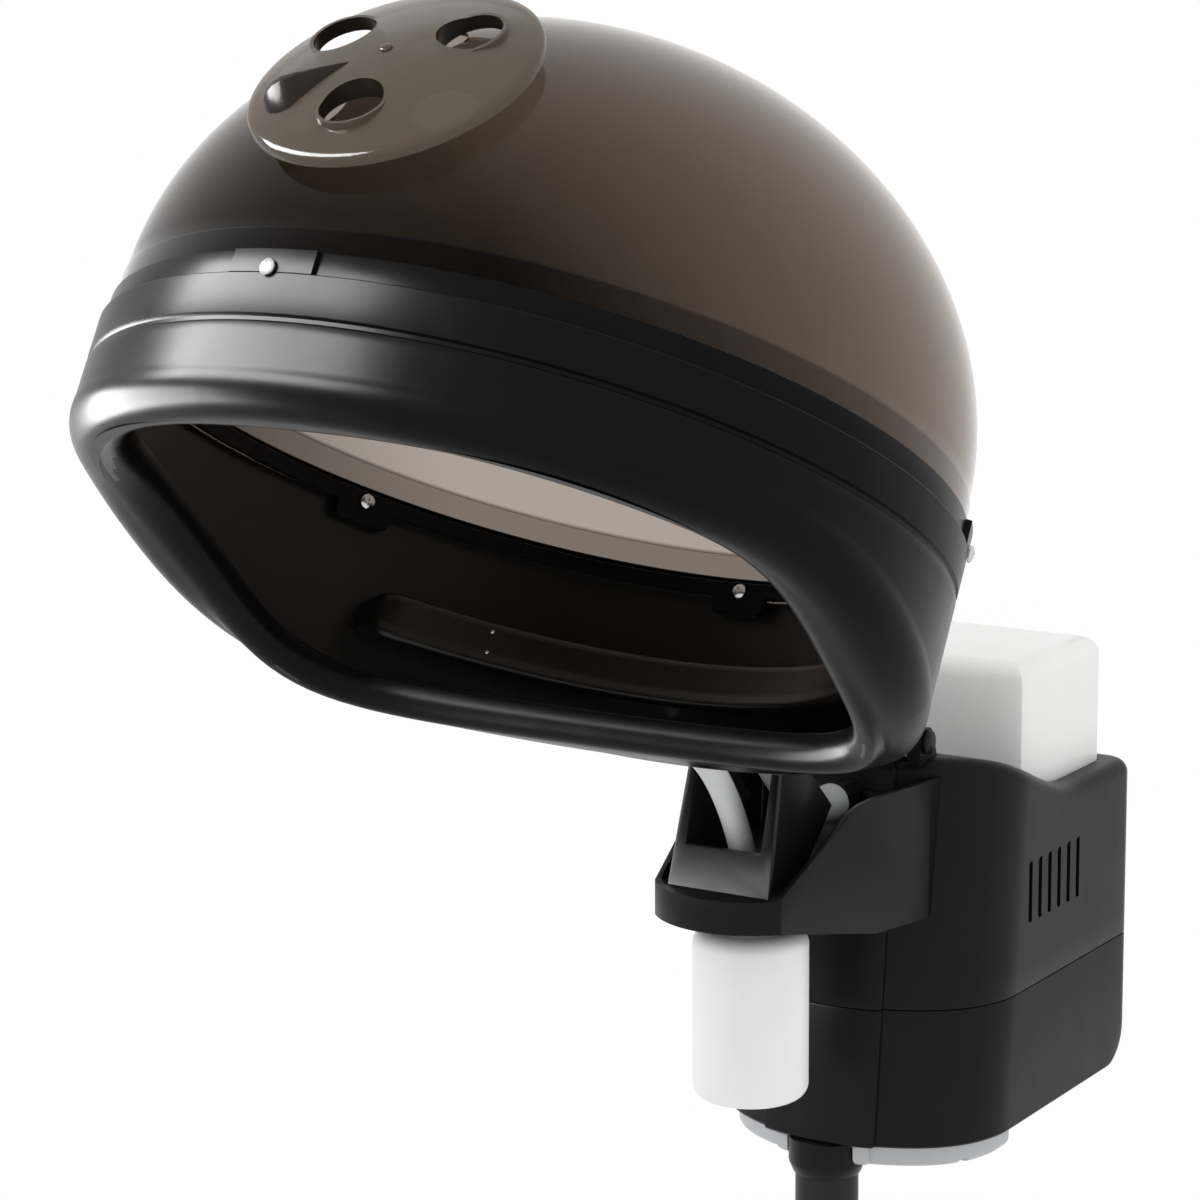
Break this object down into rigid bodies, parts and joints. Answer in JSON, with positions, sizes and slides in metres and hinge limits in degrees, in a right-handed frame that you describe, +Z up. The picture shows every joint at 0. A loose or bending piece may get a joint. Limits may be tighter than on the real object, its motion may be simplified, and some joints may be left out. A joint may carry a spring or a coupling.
{
  "type": "salon hair steamer head",
  "caption": "Hooded hair steamer: smoky dome on a black bowl with open mouth, tilting on a boiler housing with tank, drain bottle and short pole stub.",
  "frame": {"origin": "centre of the flat lower end of the pole stub", "axes": "+Z up along the pole, -Y towards the hood, +X towards the vented side of the housing"},
  "size_m": [0.38, 0.6531, 0.6487],
  "materials": {
    "shell_black": "polished moulding",
    "smoke": "smoky brown, see-through",
    "white": "milky, slightly see-through",
    "pale_grey": "fine satin",
    "dark_grey": "satin",
    "pole_grey": "gloss paint",
    "steel": "bright",
    "brass": "drawn",
    "hose_white": "milky silicone",
    "hose_grey": "satin silicone",
    "rubber_black": "matt",
    "clear_blue": "cloudy",
    "red": "polished"
  },
  "bodies": {
    "stand": {"pole": "pole_grey", "pole_end_plug": "rubber_black"},
    "head": {"pole_socket": "shell_black", "socket_bolt_front": "steel", "socket_bolt_rear": "steel", "lower_housing": "shell_black", "bottom_pan": "pale_grey", "upper_housing": "shell_black", "front_bracket": "shell_black", "bracket_screw_left": "steel", "bracket_screw_right": "steel", "bottle_collar": "rubber_black", "boiler_cup": "steel", "boiler_lid": "steel", "heating_element": "steel", "thermostat": "brass", "steam_pipe": "brass", "tank_seat": "rubber_black", "feed_tube": "hose_white", "timer_body": "pale_grey", "switch_body": "dark_grey", "pilot_lamp": "red", "power_inlet": "dark_grey", "terminal_block": "pale_grey", "hinge_pin": "steel", "hinge_nut": "steel", "friction_washer_left": "rubber_black", "friction_washer_right": "rubber_black", "steam_hose": "hose_grey", "drain_hose": "hose_white"},
    "hood": {"hood_bowl": "shell_black", "dome": "smoke", "dome_ring": "shell_black", "dome_screw_1": "steel", "dome_screw_2": "steel", "dome_screw_3": "steel", "dome_screw_4": "steel", "dome_nut_1": "steel", "dome_nut_2": "steel", "dome_nut_3": "steel", "dome_nut_4": "steel", "steam_manifold": "shell_black", "manifold_screw_left": "steel", "manifold_screw_right": "steel", "steam_inlet": "shell_black", "drain_nipple": "clear_blue", "hood_arm": "shell_black", "arm_screw_1": "steel", "arm_screw_2": "steel", "arm_screw_3": "steel", "arm_screw_4": "steel", "vent_rivet": "smoke"},
    "vent": {"vent_disc": "smoke"},
    "tank": {"water_tank": "white", "valve_stem": "rubber_black"},
    "cap": {"tank_cap": "pale_grey"},
    "bottle": {"condensate_bottle": "white"},
    "timer": {"timer_knob": "dark_grey"},
    "rocker": {"power_rocker": "red"}
  },
  "joints": [
    {"name": "head_swivel", "type": "hinge", "parent": "stand", "child": "head", "pos_m": [0, 0, 0.06], "axis": [0, 0, 1], "range_deg": [-170, 170]},
    {"name": "hood_tilt", "type": "hinge", "parent": "head", "child": "hood", "pos_m": [0, 0.021, 0.2725], "axis": [-1, 0, 0], "range_deg": [-15, 20], "deforming": ["steam_hose", "drain_hose"]},
    {"name": "vent_turn", "type": "hinge", "parent": "hood", "child": "vent", "pos_m": [0, -0.36147, 0.61753], "axis": [0, -0.4798, 0.8774], "range_deg": [0, 60]},
    {"name": "tank_lift", "type": "slide", "parent": "head", "child": "tank", "axis": [0, 0, 1], "range_m": [0, 0.12]},
    {"name": "cap_turn", "type": "hinge", "parent": "tank", "child": "cap", "pos_m": [0, 0.1327, 0.215], "axis": [0, 0, 1], "range_deg": [0, 180]},
    {"name": "bottle_drop", "type": "slide", "parent": "head", "child": "bottle", "axis": [0, 0, -1], "range_m": [0, 0.08]},
    {"name": "timer_turn", "type": "hinge", "parent": "head", "child": "timer", "pos_m": [-0.0765, 0.122, 0.176], "axis": [-1, 0, 0], "range_deg": [0, 300]},
    {"name": "power_rock", "type": "hinge", "parent": "head", "child": "rocker", "pos_m": [-0.0715, 0.08, 0.162], "axis": [0, 0, 1], "range_deg": [0, 8]}
  ]
}
